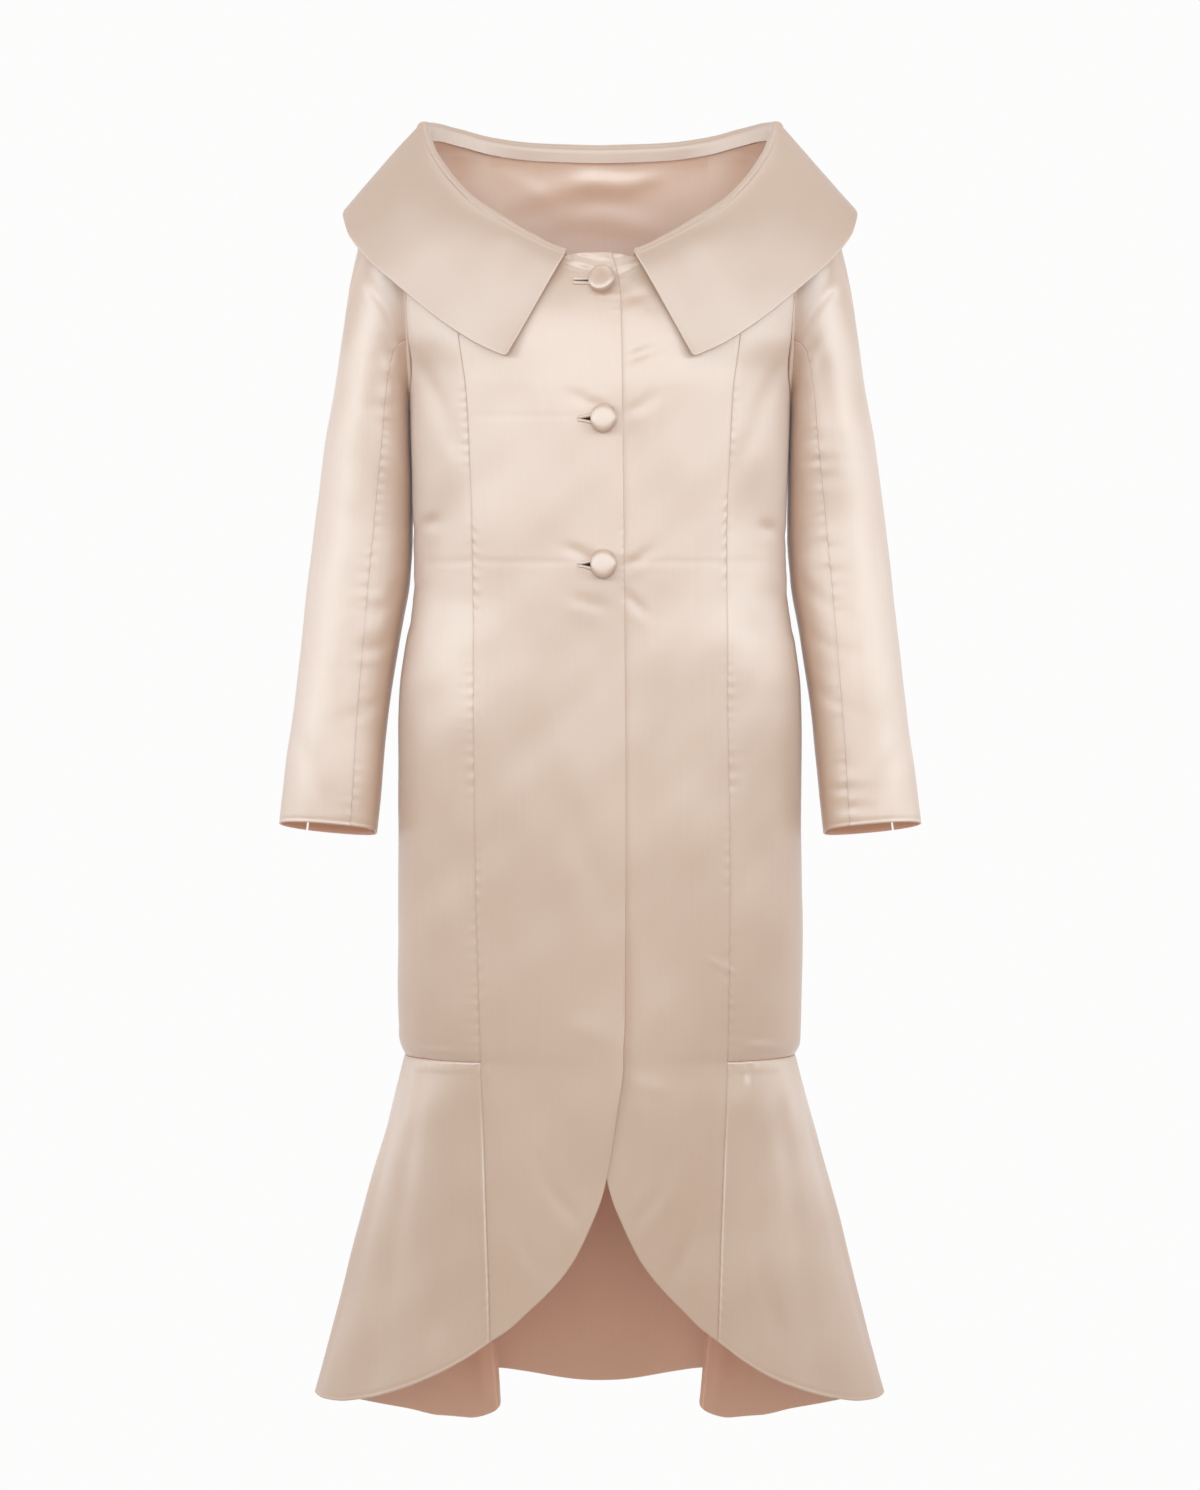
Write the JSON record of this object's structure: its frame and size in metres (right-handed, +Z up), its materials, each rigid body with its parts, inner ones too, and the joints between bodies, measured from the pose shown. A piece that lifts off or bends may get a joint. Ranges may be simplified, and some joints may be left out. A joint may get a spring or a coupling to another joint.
{
  "type": "opera coat",
  "caption": "Hollow full-length satin evening coat in worn form, with a wide folded collar, princess seams, slim sleeves, a cutaway front and a fluted flounce hem.",
  "frame": {"origin": "midway between the wearer's shoulders, inside the neck of the coat, where the wearer holds it up", "axes": "+Z up the coat, -Y out of its front, so +X is the wearer's left"},
  "size_m": [0.639, 0.308, 1.3127],
  "materials": {
    "satin": "champagne duchesse satin, soft sheen",
    "covered_button": "button covered in the same satin",
    "buttonhole_lip": "folded lips of the same satin"
  },
  "bodies": {
    "root": {"right_front": "satin", "left_front": "satin", "right_side_front": "satin", "left_side_front": "satin", "right_side_back": "satin", "left_side_back": "satin", "back": "satin", "right_flounce": "satin", "left_flounce": "satin", "right_upper_sleeve": "satin", "left_upper_sleeve": "satin", "right_under_sleeve": "satin", "left_under_sleeve": "satin", "collar": "satin", "button_1": "covered_button", "button_2": "covered_button", "button_3": "covered_button", "buttonhole_1_upper": "buttonhole_lip", "buttonhole_1_lower": "buttonhole_lip", "buttonhole_2_upper": "buttonhole_lip", "buttonhole_2_lower": "buttonhole_lip", "buttonhole_3_upper": "buttonhole_lip", "buttonhole_3_lower": "buttonhole_lip"}
  },
  "joints": []
}
